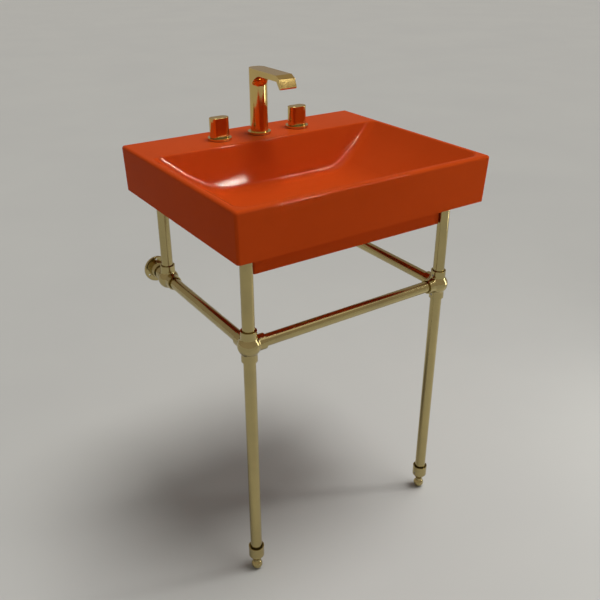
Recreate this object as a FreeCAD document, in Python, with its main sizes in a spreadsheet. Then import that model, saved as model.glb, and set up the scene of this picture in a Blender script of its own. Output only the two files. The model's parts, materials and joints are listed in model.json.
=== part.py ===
"""Console basin: glazed basin on a brass stand, three-hole faucet, push drain.

Millimetres. X runs right along the wall, Y runs into the wall (wall face at y = 0), Z is up.
The origin lies midway between the two wall bolt holes, on the wall face.
"""
import FreeCAD
import Part
import Sketcher
import math
import os

DIMENSIONS = {
    # basin
    "basin_width": 600.0,
    "basin_depth": 495.0,
    "rim_height": 893.0,
    "bolt_drop": 58.0,
    "skirt_height": 99.0,
    "skirt_draft": 1.95,
    "skirt_wall": 14.0,
    "rim_round": 6.0,
    "rim_side": 13.0,
    "rim_front": 18.0,
    "deck_depth": 128.0,
    "deck_thickness": 20.0,
    "bowl_depth": 94.0,
    "flank_top_angle": 43.5,
    "flank_low_angle": 30.0,
    "flank_radius": 540.0,
    "back_lean": 20.0,
    "front_lean": 24.0,
    "bowl_back_round": 20.0,
    "bowl_front_round": 28.0,
    "lip_round": 4.0,
    "front_lip_round": 10.0,
    "ceramic_wall": 16.0,
    "ledge_side": 67.5,
    "ledge_front": 62.5,
    "base_drop": 154.5,
    "base_corner_round": 4.0,
    "ledge_recess": 20.0,
    "bolt_spacing": 280.0,
    "bolt_hole": 14.0,
    "form_overrun": 20.0,
    # stand
    "leg_gap": 1.5,
    "leg_front": 64.2,
    "rear_setback": 66.0,
    "rail_height": 590.5,
    "tube_diameter": 25.4,
    "tube_wall": 1.6,
    "socket_clearance": 0.1,
    "ball_diameter": 46.6,
    "collar_wall": 3.7,
    "collar_reach": 33.6,
    "collar_socket": 20.0,
    "flare_radius": 8.0,
    "flare_start": 19.2,
    "flare_sweep": 41.0,
    "mouth_chamfer": 1.3,
    "pad_thickness": 3.0,
    "pad_plug": 10.0,
    "grub_diameter": 5.0,
    "grub_inset": 10.0,
    "grub_sink": 0.3,
    # feet
    "foot_ball": 24.8,
    "foot_flat": 9.0,
    "foot_neck": 16.0,
    "neck_height": 26.0,
    "cup_base_height": 41.0,
    "cup_height": 67.0,
    "cup_wall": 2.2,
    "cup_gap": 2.5,
    "leg_seat_height": 45.0,
    "leg_seat_depth": 7.0,
    # wall flanges
    "flange_diameter": 61.0,
    "flange_plate": 5.0,
    "flange_edge": 1.2,
    "hub_wall": 3.7,
    "hub_flare": 3.0,
    "hub_length": 24.0,
    "stub_seat": 8.0,
    "flange_screw_circle": 47.0,
    "flange_screw_hole": 5.2,
    # faucet
    "faucet_spacing": 203.2,
    "faucet_setback": 76.0,
    "deck_hole": 35.0,
    "disc_diameter": 52.5,
    "disc_height": 4.5,
    "ring_thickness": 1.0,
    "ring_wall": 7.5,
    "shank_diameter": 28.0,
    "thread_clearance": 0.1,
    "washer_diameter": 46.0,
    "washer_thickness": 3.0,
    "lock_nut_flats": 40.0,
    "lock_nut_height": 8.0,
    "knob_length": 45.0,
    "knob_depth": 25.0,
    "knob_height": 42.5,
    "knob_gap": 1.0,
    "knob_edge": 1.2,
    "knob_cavity": 20.5,
    "knob_cavity_height": 9.5,
    "spindle_diameter": 10.0,
    "spindle_fit": 0.05,
    "spline_diameter": 8.0,
    "spline_height": 18.0,
    "spline_shoulder": 2.0,
    "knob_screw_diameter": 4.0,
    "knob_screw_rise": 9.0,
    "valve_sink": 1.0,
    "valve_shank_drop": 34.0,
    "valve_drop": 80.0,
    "valve_diameter": 34.0,
    "inlet_diameter": 20.96,
    "inlet_length": 28.0,
    "water_bore": 9.0,
    "cartridge_diameter": 20.0,
    "cartridge_depth": 58.0,
    "cartridge_head": 18.0,
    "cartridge_head_height": 6.0,
    "cartridge_window": 6.0,
    "disc_chamber": 16.6,
    "disc_chamber_height": 10.0,
    "disc_chamber_drop": 38.0,
    "chamber_gap": 0.3,
    "boss_diameter": 16.0,
    "boss_reach": 28.0,
    "crossover_drop": 43.0,
    "crossover_diameter": 9.5,
    "crossover_wall": 0.9,
    "crossover_seat": 8.0,
    "coupling_diameter": 21.0,
    "coupling_cover": 8.0,
    "coupling_neck": 7.0,
    "column_diameter": 40.0,
    "spout_height": 143.5,
    "arm_thickness": 12.3,
    "arm_inset": 0.2,
    "arm_under_reach": 106.4,
    "arm_top_reach": 104.0,
    "nose_reach": 123.3,
    "nose_shoulder_reach": 116.5,
    "nose_shoulder_drop": 7.0,
    "nose_tip_drop": 24.0,
    "nose_heel_reach": 117.5,
    "nose_drop": 27.3,
    "nose_bevel": 2.8,
    "spout_fillet": 25.0,
    "spout_socket": 15.0,
    "spout_bore": 18.0,
    "spout_roof": 4.5,
    "spout_channel": 7.0,
    "aerator_diameter": 16.0,
    "aerator_reach": 92.0,
    "aerator_depth": 6.0,
    "aerator_clearance": 0.1,
    "aerator_screen": 1.2,
    "aerator_rim": 1.5,
    "tee_height": 20.0,
    "tee_diameter": 32.0,
    # drain
    "drain_setback": 300.0,
    "drain_hole": 45.0,
    "drain_flange": 65.0,
    "drain_flange_height": 2.4,
    "drain_recess_gap": 1.0,
    "drain_seal": 1.6,
    "drain_thread": 43.0,
    "drain_bore": 34.0,
    "drain_length": 74.0,
    "drain_shoulder_drop": 38.0,
    "drain_shoulder_bore": 30.4,
    "tail_socket": 18.0,
    "tail_thread": 30.9,
    "tail_diameter": 31.75,
    "tail_wall": 1.2,
    "tail_length": 49.0,
    "lower_seal_diameter": 62.0,
    "lower_seal_height": 8.0,
    "drain_nut_flats": 56.0,
    "drain_nut_height": 10.0,
    "guide_hub": 16.0,
    "guide_height": 12.0,
    "guide_rib": 3.0,
    "stopper_diameter": 58.0,
    "stopper_edge": 2.5,
    "stopper_dome": 3.5,
    "stopper_gap": 0.3,
    "stopper_seal_wall": 5.0,
    "stopper_seal_height": 1.5,
    "stopper_stem": 10.0,
    "stopper_stem_overrun": 8.0,
}

document = FreeCAD.newDocument("console_basin")
sheet = document.addObject("Spreadsheet::Sheet", "Sizes")
for row, (alias, number) in enumerate(DIMENSIONS.items(), start=1):
    sheet.set("A%d" % row, alias)
    sheet.set("B%d" % row, repr(number))
    sheet.setAlias("B%d" % row, alias)
document.recompute()

nodes = {}


class Size:
    """A number together with the sheet formula that gives it."""

    def __init__(self, number, formula):
        self.number = number
        self.formula = formula

    def __add__(self, other):
        return joined(self, "+", other, self.number + plain(other))

    def __radd__(self, other):
        return joined(other, "+", self, plain(other) + self.number)

    def __sub__(self, other):
        return joined(self, "-", other, self.number - plain(other))

    def __rsub__(self, other):
        return joined(other, "-", self, plain(other) - self.number)

    def __mul__(self, other):
        return joined(self, "*", other, self.number * plain(other))

    def __rmul__(self, other):
        return joined(other, "*", self, plain(other) * self.number)

    def __truediv__(self, other):
        return joined(self, "/", other, self.number / plain(other))

    def __neg__(self):
        return joined(0, "-", self, -self.number)


def plain(size):
    """Number of a Size or of a plain number."""
    return size.number if isinstance(size, Size) else float(size)


def formula(size):
    """Sheet formula of a Size or of a plain number."""
    return size.formula if isinstance(size, Size) else repr(size)


def joined(first, sign, second, number):
    return Size(number, "(%s %s %s)" % (formula(first), sign, formula(second)))


def sine(angle):
    return Size(math.sin(math.radians(angle.number)), "sin(%s)" % angle.formula)


def cosine(angle):
    return Size(math.cos(math.radians(angle.number)), "cos(%s)" % angle.formula)


def size(alias):
    """Driving dimension by its name in the sheet."""
    return Size(float(sheet.get(alias)), "Sizes." + alias)


def bind(item, path, value):
    """Bind one property of a document object to a size."""
    if isinstance(value, Size):
        item.setExpression(path, value.formula)


def turn_to(axis):
    """Rotation that takes local Z to a named axis."""
    directions = {"+X": (1, 0, 0), "-X": (-1, 0, 0), "+Y": (0, 1, 0),
                  "-Y": (0, -1, 0), "+Z": (0, 0, 1), "-Z": (0, 0, -1)}
    return FreeCAD.Rotation(FreeCAD.Vector(0, 0, 1), FreeCAD.Vector(*directions[axis]))


def place(item, position, axis="+Z"):
    """Put an object at a bound position with its local Z along an axis."""
    point = FreeCAD.Vector(*[plain(value) for value in position])
    item.Placement = FreeCAD.Placement(point, turn_to(axis))
    for letter, value in zip("xyz", position):
        bind(item, "Placement.Base." + letter, value)
    return item


def arc_between(start, end, radius, side):
    """Arc from start to end whose centre is left (1) or right (-1) of the way travelled."""
    chord = end - start
    middle = (start + end) * 0.5
    normal = FreeCAD.Vector(-chord.y, chord.x, 0).normalize()
    height = math.sqrt(max(radius ** 2 - (chord.Length / 2) ** 2, 0.0))
    centre = middle + normal * (side * height)
    first, last = (start, end) if side > 0 else (end, start)
    angle_first = math.atan2(first.y - centre.y, first.x - centre.x)
    angle_last = math.atan2(last.y - centre.y, last.x - centre.x)
    circle = Part.Circle(centre, FreeCAD.Vector(0, 0, 1), radius)
    return Part.ArcOfCircle(circle, angle_first, angle_last)


def outline(body, plane, corners, offset=None):
    """Closed sketch on an origin plane of a body.

    A corner is (across, up); with (across, up, radius, side) the edge that leads to it is an arc.
    """
    sketch = body.newObject("Sketcher::SketchObject", body.Name + "_outline")
    support = [item for item in body.Origin.OriginFeatures if item.Role == plane][0]
    sketch.AttachmentSupport = [(support, "")]
    sketch.MapMode = "FlatFace"
    if offset is not None:
        sketch.AttachmentOffset = FreeCAD.Placement(
            FreeCAD.Vector(0, 0, plain(offset)), FreeCAD.Rotation())
        bind(sketch, "AttachmentOffset.Base.z", offset)
    points = [FreeCAD.Vector(plain(corner[0]), plain(corner[1]), 0) for corner in corners]
    head = []
    tail = []
    for index, corner in enumerate(corners):
        start = points[index - 1]
        end = points[index]
        if len(corner) == 2:
            edge = Part.LineSegment(start, end)
            backwards = False
        else:
            edge = arc_between(start, end, plain(corner[2]), corner[3])
            backwards = corner[3] < 0
        sketch.addGeometry(edge, False)
        tail.append(2 if backwards else 1)
        head.append(1 if backwards else 2)
    count = len(corners)
    for index, corner in enumerate(corners):
        following = (index + 1) % count
        sketch.addConstraint(Sketcher.Constraint(
            "Coincident", index, head[index], following, tail[following]))
        for kind, value, axis in (("DistanceX", corner[0], -2), ("DistanceY", corner[1], -1)):
            if plain(value) == 0.0 and not isinstance(value, Size):
                sketch.addConstraint(Sketcher.Constraint(
                    "PointOnObject", index, head[index], axis))
                continue
            number = sketch.addConstraint(Sketcher.Constraint(
                kind, -1, 1, index, head[index], plain(value)))
            bind(sketch, "Constraints[%d]" % number, value)
        if len(corner) == 4:
            number = sketch.addConstraint(Sketcher.Constraint("Radius", index, plain(corner[2])))
            bind(sketch, "Constraints[%d]" % number, corner[2])
    return sketch


def turned(name, corners):
    """Body of revolution about its own Z from an outline of (radius, height) corners."""
    body = document.addObject("PartDesign::Body", name)
    sketch = outline(body, "XZ_Plane", corners)
    revolution = body.newObject("PartDesign::Revolution", name + "_turn")
    revolution.Profile = sketch
    revolution.ReferenceAxis = (sketch, ["V_Axis"])
    revolution.Angle = 360
    return body


def padded(name, plane, corners, length, offset=None):
    """Body from one outline padded along the normal of its plane."""
    body = document.addObject("PartDesign::Body", name)
    sketch = outline(body, plane, corners, offset)
    pad = body.newObject("PartDesign::Pad", name + "_pad")
    pad.Profile = sketch
    pad.Length = plain(length)
    bind(pad, "Length", length)
    return body


def tube(name, outside, wall, length):
    """Round tube standing on its own origin."""
    inner = outside / 2 - wall
    outer = outside / 2
    return turned(name, [(inner, 0), (outer, 0), (outer, length), (inner, length)])


def rod(name, diameter, length, position, axis="+Z"):
    """Plain cylinder from a point along an axis."""
    item = document.addObject("Part::Cylinder", name)
    item.Radius = plain(diameter) / 2
    item.Height = plain(length)
    bind(item, "Radius", diameter / 2)
    bind(item, "Height", length)
    return place(item, position, axis)


def cone(name, first, last, length, position, axis="+Z"):
    """Cone frustum from a point along an axis, given by its two diameters."""
    item = document.addObject("Part::Cone", name)
    item.Radius1 = plain(first) / 2
    item.Radius2 = plain(last) / 2
    item.Height = plain(length)
    bind(item, "Radius1", first / 2)
    bind(item, "Radius2", last / 2)
    bind(item, "Height", length)
    return place(item, position, axis)


def block(name, low, high):
    """Box between two corners."""
    item = document.addObject("Part::Box", name)
    for side, start, end in zip(("Length", "Width", "Height"), low, high):
        setattr(item, side, plain(end - start))
        bind(item, side, end - start)
    return place(item, low)


def hexagon(name, flats, height, position):
    """Upright hexagonal prism by its size across flats."""
    item = document.addObject("Part::Prism", name)
    item.Polygon = 6
    across = flats / Size(math.sqrt(3.0), "sqrt(3)")
    item.Circumradius = plain(across)
    item.Height = plain(height)
    bind(item, "Circumradius", across)
    bind(item, "Height", height)
    return place(item, position)


def fuse(name, items):
    result = document.addObject("Part::MultiFuse", name)
    result.Shapes = items
    result.Refine = True
    return result


def cut(name, item, tools):
    result = document.addObject("Part::Cut", name)
    result.Base = item
    result.Tool = tools[0] if len(tools) == 1 else fuse(name + "_tools", tools)
    result.Refine = True
    return result


def common(name, first, second):
    result = document.addObject("Part::Common", name)
    result.Base = first
    result.Tool = second
    return result


def rounded(name, item, radius, chosen, radius_at=None):
    """Fillet on the edges of an object that a test picks, even or varying from end to end."""
    document.recompute()
    picks = []
    for index, edge in enumerate(item.Shape.Edges, start=1):
        if chosen(edge):
            ends = [plain(radius), plain(radius)]
            if radius_at is not None:
                ends = [radius_at(edge.valueAt(end)) for end in edge.ParameterRange]
            picks.append((index, ends[0], ends[1]))
    result = document.addObject("Part::Fillet", name)
    result.Base = item
    result.Edges = picks
    document.recompute()
    if result.Shape.isNull() or not result.Shape.isValid():
        raise RuntimeError("fillet failed: " + name)
    return result


def group(name, items):
    """Separate solids kept under one name."""
    result = document.addObject("Part::Compound", name)
    result.Links = items
    return result


def keep(name, item):
    """Name a finished sub-part as one node of the assembly."""
    item.Label = name
    nodes[name] = item
    return item


def flat_at(edge, height):
    """True when an edge lies in one horizontal plane."""
    box = edge.BoundBox
    return abs(box.ZMin - height) < 1e-3 and abs(box.ZMax - height) < 1e-3


# heights measured from the wall bolts
rim = size("bolt_drop")
floor = size("bolt_drop") - size("rim_height")
half_width = size("basin_width") / 2
basin_depth = size("basin_depth")
skirt_bottom = rim - size("skirt_height")
base_bottom = rim - size("base_drop")
overrun = size("form_overrun")
ledge = skirt_bottom + size("ledge_recess")
base_width = size("basin_width") - 2 * size("ledge_side")


def arch_corners(offset):
    """Cross-section of the bowl seen from the front, grown outwards by an offset."""
    top = size("flank_top_angle")
    low = size("flank_low_angle")
    radius = size("flank_radius")
    flank_depth = radius * (cosine(low) - cosine(top))
    flank_run = radius * (sine(top) - sine(low))
    blend = (size("bowl_depth") - flank_depth) / (1 - cosine(low))
    mouth = half_width - size("rim_side")
    knee_x = mouth - flank_run
    floor_x = knee_x - blend * sine(low)
    mouth_x = mouth + offset * sine(top)
    mouth_z = rim - offset * cosine(top)
    reach_x = mouth_x + (rim + overrun - mouth_z) * cosine(top) / sine(top)
    knee_out = knee_x + offset * sine(low)
    knee_z = rim - flank_depth - offset * cosine(low)
    floor_z = rim - size("bowl_depth") - offset
    return [
        (-reach_x, rim + overrun),
        (-mouth_x, mouth_z),
        (-knee_out, knee_z, radius + offset, 1),
        (-floor_x, floor_z, blend + offset, 1),
        (floor_x, floor_z),
        (knee_out, knee_z, blend + offset, 1),
        (mouth_x, mouth_z, radius + offset, 1),
        (reach_x, rim + overrun),
    ]


def side_corners(offset):
    """Section of the bowl seen from the side, grown outwards by an offset."""
    back = size("back_lean")
    front = size("front_lean")
    back_top = offset / cosine(back) - size("deck_depth")
    front_top = size("rim_front") - basin_depth - offset / cosine(front)
    low = rim - size("bowl_depth") - offset
    drop = size("bowl_depth") + offset
    return [
        (back_top + overrun * sine(back) / cosine(back), rim + overrun),
        (front_top - overrun * sine(front) / cosine(front), rim + overrun),
        (front_top + drop * sine(front) / cosine(front), low),
        (back_top - drop * sine(back) / cosine(back), low),
    ]


def bowl_form(name, offset):
    """Solid in the shape of the bowl: front section and side section in common."""
    arch = padded(name + "_arch", "XZ_Plane", arch_corners(offset), basin_depth + offset)
    side = padded(name + "_side", "YZ_Plane", side_corners(offset), size("basin_width") * 2,
                  -size("basin_width"))
    return common(name, arch, side)


def basin_block():
    """Outer block of the basin: a drafted pad with rounded rim and corners."""
    body = document.addObject("PartDesign::Body", "basin_block")
    upper = outline(body, "XY_Plane", [
        (-half_width, 0), (-half_width, -basin_depth), (half_width, -basin_depth),
        (half_width, 0)], rim)
    pad = body.newObject("PartDesign::Pad", "basin_pad")
    pad.Profile = upper
    pad.Reversed = True
    pad.Length = size("skirt_height").number
    bind(pad, "Length", size("skirt_height"))
    document.recompute()
    drafted = []
    top = []
    for index, face in enumerate(pad.Shape.Faces, start=1):
        normal = face.normalAt(0, 0)
        if abs(normal.x) > 0.9 or normal.y < -0.9:
            drafted.append("Face%d" % index)
        if normal.z > 0.9:
            top.append("Face%d" % index)
    draft = body.newObject("PartDesign::Draft", "basin_draft")
    draft.Base = (pad, drafted)
    draft.NeutralPlane = (pad, top)
    draft.Angle = size("skirt_draft").number
    bind(draft, "Angle", size("skirt_draft"))
    document.recompute()
    if draft.Shape.Volume > pad.Shape.Volume:
        draft.Reversed = True
        document.recompute()
    soft = []
    for index, edge in enumerate(draft.Shape.Edges, start=1):
        if not flat_at(edge, skirt_bottom.number):
            soft.append("Edge%d" % index)
    fillet = body.newObject("PartDesign::Fillet", "basin_rim_round")
    fillet.Base = (draft, soft)
    fillet.Radius = size("rim_round").number
    bind(fillet, "Radius", size("rim_round"))
    document.recompute()
    return body


def basin():
    """Glazed casting: block, recessed lower box, bowl, hollow underside, holes."""
    body = basin_block()
    wall = size("ceramic_wall")
    taper = size("skirt_height") * sine(size("skirt_draft")) / cosine(size("skirt_draft"))
    skirt_in = half_width - taper - size("skirt_wall")
    front_in = taper + size("skirt_wall") - basin_depth
    shell = bowl_form("shell_form", wall)
    under_skirt = block("under_skirt", (-skirt_in, front_in, skirt_bottom - overrun),
                        (skirt_in, -size("skirt_wall"), ledge))
    rim_part = cut("skirted_block", body, [cut("skirt_recess", under_skirt, [shell])])
    half_base = base_width / 2
    base_front = size("ledge_front") - size("basin_depth")
    base = block("lower_box", (-half_base, base_front, base_bottom),
                 (half_base, zero, ledge + overrun))
    base = rounded("lower_box_round", base, size("base_corner_round"), lambda edge: (
        edge.BoundBox.ZLength > size("ledge_recess").number
        and edge.BoundBox.YMax < -size("rim_round").number))
    solid = fuse("basin_solid", [rim_part, base])
    bowl = bowl_form("bowl_form", zero)
    middle = drain_y.number
    bowl = rounded("bowl_back_form", bowl, size("bowl_back_round"),
                   lambda edge: crease(edge) and edge.BoundBox.YMax > middle)
    bowl = rounded("bowl_full_form", bowl, size("bowl_front_round"),
                   lambda edge: crease(edge) and edge.BoundBox.YMax < middle)
    cavity = block("underside_form", (wall - half_base, base_front + wall, base_bottom - overrun),
                   (half_base - wall, -wall, rim - size("deck_thickness")))
    underside = cut("underside", cavity, [shell])
    holes = [bowl, underside]
    for name, across in (("hot", -size("faucet_spacing") / 2), ("spout", zero),
                         ("cold", size("faucet_spacing") / 2)):
        holes.append(rod(name + "_deck_hole", size("deck_hole"), overrun * 3,
                         (across, -size("faucet_setback"), rim - overrun * 2)))
    for name, across in (("left", -size("bolt_spacing") / 2), ("right", size("bolt_spacing") / 2)):
        holes.append(rod(name + "_bolt_hole", size("bolt_hole"), wall + overrun,
                         (across, -wall - overrun / 2, zero), "+Y"))
    holes.append(rod("basin_drain_hole", size("drain_hole"), wall + overrun * 2,
                     (zero, drain_y, bowl_floor - wall - overrun)))
    holes.append(rod("basin_drain_recess", size("drain_flange") + 2 * size("drain_recess_gap"),
                     recess_depth + overrun, (zero, drain_y, bowl_floor - recess_depth)))
    hollow = cut("basin_hollow", solid, holes)
    inside = half_width.number - size("rim_side").number / 2
    front = size("rim_front").number / 2 - basin_depth.number
    finished = rounded("basin_finished", hollow, size("lip_round"), lambda edge: (
        flat_at(edge, rim.number) and abs(edge.BoundBox.XMin) < inside
        and abs(edge.BoundBox.XMax) < inside and edge.BoundBox.YMin > front
        and edge.BoundBox.YMax < -size("deck_depth").number + size("lip_round").number), lip_radius)
    keep("basin", finished)


def lip_radius(point):
    """Radius of the bowl's lip at a point: fine along the deck, softer towards the front."""
    return size("lip_round").number if point.y > drain_y.number else size("front_lip_round").number


def crease(edge):
    """Edges of the bowl form where its end walls meet the arch."""
    box = edge.BoundBox
    return (box.YLength < size("bowl_depth").number and box.XLength > size("lip_round").number
            and box.ZMin < rim.number + overrun.number / 2)


bowl_floor = rim - size("bowl_depth")
recess_depth = size("drain_flange_height") + size("drain_seal")
drain_y = -size("drain_setback")
zero = Size(0.0, "0")
leg_spacing = base_width + size("tube_diameter") + 2 * size("leg_gap")
left_x = -leg_spacing / 2
right_x = leg_spacing / 2
front_y = size("leg_front") - size("basin_depth")
rear_y = -size("rear_setback")
rail_z = floor + size("rail_height")
tube_d = size("tube_diameter")
clearance = size("socket_clearance")
collar_d = tube_d + 2 * (clearance + size("collar_wall"))
reach = size("collar_reach")
seat = reach - size("collar_socket")


def moved(position, axis, distance):
    """Position shifted along a named axis."""
    shifted = list(position)
    index = "XYZ".index(axis[1])
    step = distance if axis[0] == "+" else -distance
    shifted[index] = shifted[index] + step
    return tuple(shifted)


grubs = []


def socket(name, centre, axis, screw_axis):
    """Bore, mouth chamfer and screw hole of one collar, and its set screw."""
    bore_d = tube_d + 2 * clearance
    wall = size("collar_wall")
    mouth = size("mouth_chamfer")
    opposite = ("-" if axis[0] == "+" else "+") + axis[1]
    tools = [
        rod(name + "_bore", bore_d, reach - seat + overrun, moved(centre, axis, seat), axis),
        cone(name + "_mouth", bore_d + 2 * mouth, bore_d, mouth, moved(centre, axis, reach), opposite),
    ]
    screw_at = moved(centre, axis, reach - size("grub_inset"))
    tools.append(rod(name + "_screw_hole", size("grub_diameter"), wall + overrun,
                     moved(screw_at, screw_axis, tube_d / 2 - clearance), screw_axis))
    screw_d = size("grub_diameter") - 2 * clearance
    grubs.append(rod(name + "_grub", screw_d, wall + clearance - size("grub_sink"),
                     moved(screw_at, screw_axis, tube_d / 2), screw_axis))
    return tools


def fitting(name, across, depth, arms, inward):
    """Ball with collars for the tubes that meet in it."""
    centre = (across, depth, rail_z)
    ball = document.addObject("Part::Sphere", name + "_ball")
    ball.Radius = plain(size("ball_diameter")) / 2
    bind(ball, "Radius", size("ball_diameter") / 2)
    place(ball, centre)
    solid = ball
    tools = []
    flare = size("flare_radius")
    sweep = size("flare_sweep")
    foot_r = collar_d / 2 + flare * (1 - cosine(sweep))
    foot_z = size("flare_start") - flare * sine(sweep)
    foot_low = foot_z - size("collar_wall")
    for arm in arms:
        tag = "%s_%s%s" % (name, "up" if arm[0] == "+" else "down", arm[1])
        collar = turned(tag + "_collar", [
            (0, foot_low), (foot_r, foot_low), (foot_r, foot_z),
            (collar_d / 2, size("flare_start"), flare, -1), (collar_d / 2, reach), (0, reach)])
        solid = fuse(tag + "_solid", [solid, place(collar, centre, arm)])
        tools += socket(tag, centre, arm, inward if arm[1] == "Z" else "-Z")
    keep(name, cut(name, solid, tools))


def upright(name, across, depth, low, high):
    item = tube(name, tube_d, size("tube_wall"), high - low)
    keep(name, place(item, (across, depth, low)))


def rail(name, start, axis, length):
    item = tube(name, tube_d, size("tube_wall"), length)
    keep(name, place(item, start, axis))


def foot(name, across, inward):
    """Cup that takes the leg, on a neck and a ball with a small flat."""
    radius = size("foot_ball") / 2
    flat = size("foot_flat") / 2
    centre_z = size_root(radius, flat)
    neck = size("foot_neck") / 2
    neck_z = centre_z + size_root(radius, neck)
    bore = tube_d / 2 + clearance
    inner = tube_d / 2 + size("cup_gap")
    outer = inner + size("cup_wall")
    seat_z = size("leg_seat_height")
    shelf_z = seat_z + size("leg_seat_depth")
    body = turned(name + "_turned", [
        (0, 0), (flat, 0), (neck, neck_z, radius, 1), (neck, size("neck_height")),
        (outer, size("cup_base_height")), (outer, size("cup_height")),
        (inner, size("cup_height")), (inner, shelf_z), (bore, shelf_z), (bore, seat_z), (0, seat_z)])
    place(body, (across, front_y, floor))
    screw_z = floor + seat_z + size("leg_seat_depth") / 2
    hole = rod(name + "_screw_hole", size("grub_diameter"), outer,
               moved((across, front_y, screw_z), inward, tube_d / 2 - clearance), inward)
    grubs.append(rod(name + "_grub", size("grub_diameter") - 2 * clearance,
                     outer - tube_d / 2 - size("grub_sink"),
                     moved((across, front_y, screw_z), inward, tube_d / 2), inward))
    keep(name, cut(name, body, [hole]))


def size_root(radius, leg):
    """Other leg of a right triangle."""
    return Size(math.sqrt(radius.number ** 2 - leg.number ** 2),
                "sqrt(%s^2 - %s^2)" % (radius.formula, leg.formula))


def wall_flange(name, across):
    """Round plate with a flared hub for the stub and three screw holes."""
    plate = size("flange_plate")
    outer = size("flange_diameter") / 2
    edge = size("flange_edge")
    bore = tube_d / 2 + clearance
    hub = bore + size("hub_wall")
    base = hub + size("hub_flare")
    body = turned(name + "_turned", [
        (0, 0), (outer, 0), (outer, plate - edge), (outer - edge, plate, edge, 1), (base, plate),
        (hub, size("hub_length"), size("hub_length") * 2, 1), (bore, size("hub_length")),
        (bore, size("stub_seat")), (0, size("stub_seat"))])
    place(body, (across, zero, rail_z), "-Y")
    tools = []
    circle = size("flange_screw_circle") / 2
    for number, angle in enumerate((90.0, 210.0, 330.0)):
        turn = Size(angle, repr(angle))
        tools.append(rod("%s_hole_%d" % (name, number), size("flange_screw_hole"), plate + overrun,
                         (across + circle * cosine(turn), overrun / 2,
                          rail_z + circle * sine(turn)), "-Y"))
    screw_at = (across, size("grub_inset") - size("hub_length"), rail_z)
    tools.append(rod(name + "_screw_hole", size("grub_diameter"), overrun,
                     moved(screw_at, "-Z", tube_d / 2 - clearance), "-Z"))
    grubs.append(rod(name + "_grub", size("grub_diameter") - 2 * clearance,
                     size("hub_wall") - size("grub_sink"),
                     moved(screw_at, "-Z", tube_d / 2), "-Z"))
    keep(name, cut(name, body, tools))


def stand():
    """Legs, posts, rails, fittings, feet, wall stubs and flanges."""
    pad_z = ledge - size("pad_thickness")
    pads = []
    for side, across, inward in (("left", left_x, "+X"), ("right", right_x, "-X")):
        fitting("front_%s_fitting" % side, across, front_y, ("+Z", "-Z", inward, "+Y"), inward)
        fitting("rear_%s_fitting" % side, across, rear_y, ("+Z", "-Y", "+Y"), inward)
        upright("front_%s_leg" % side, across, front_y, floor + size("leg_seat_height"),
                rail_z - seat)
        for place_name, depth in (("front", front_y), ("rear", rear_y)):
            upright("%s_%s_post" % (place_name, side), across, depth, rail_z + seat, pad_z)
            plug = tube_d / 2 - size("tube_wall") - clearance
            pad = turned("%s_%s_pad" % (place_name, side), [
                (0, -size("pad_plug")), (plug, -size("pad_plug")), (plug, 0), (tube_d / 2, 0),
                (tube_d / 2, size("pad_thickness")), (0, size("pad_thickness"))])
            pads.append(place(pad, (across, depth, pad_z)))
        rail("%s_rail" % side, (across, rear_y - seat, rail_z), "-Y",
             rear_y - front_y - 2 * seat)
        rail("%s_wall_stub" % side, (across, -size("stub_seat"), rail_z), "-Y",
             -rear_y - seat - size("stub_seat"))
        wall_flange("%s_wall_flange" % side, across)
        foot("front_%s_foot" % side, across, inward)
    rail("front_rail", (left_x + seat, front_y, rail_z), "+X",
         leg_spacing - 2 * seat)
    keep("post_pads", group("post_pads", pads))
    keep("set_screws", group("set_screws", grubs))


faucet_y = -size("faucet_setback")
deck_under = rim - size("deck_thickness")
disc_low = rim + size("ring_thickness")
disc_top = disc_low + size("disc_height")
knob_low = disc_top + size("knob_gap")
shank_d = size("shank_diameter")
thread = size("thread_clearance")
valve_top = disc_top - size("valve_sink")
head_top = valve_top + size("cartridge_head_height")
spindle_shoulder = head_top + size("spline_shoulder")
spline_top = knob_low + size("knob_cavity_height") + size("spline_height")
crossover_z = rim - size("crossover_drop")
chamber_top = rim - size("disc_chamber_drop")
boss_reach = size("boss_reach")


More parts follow.
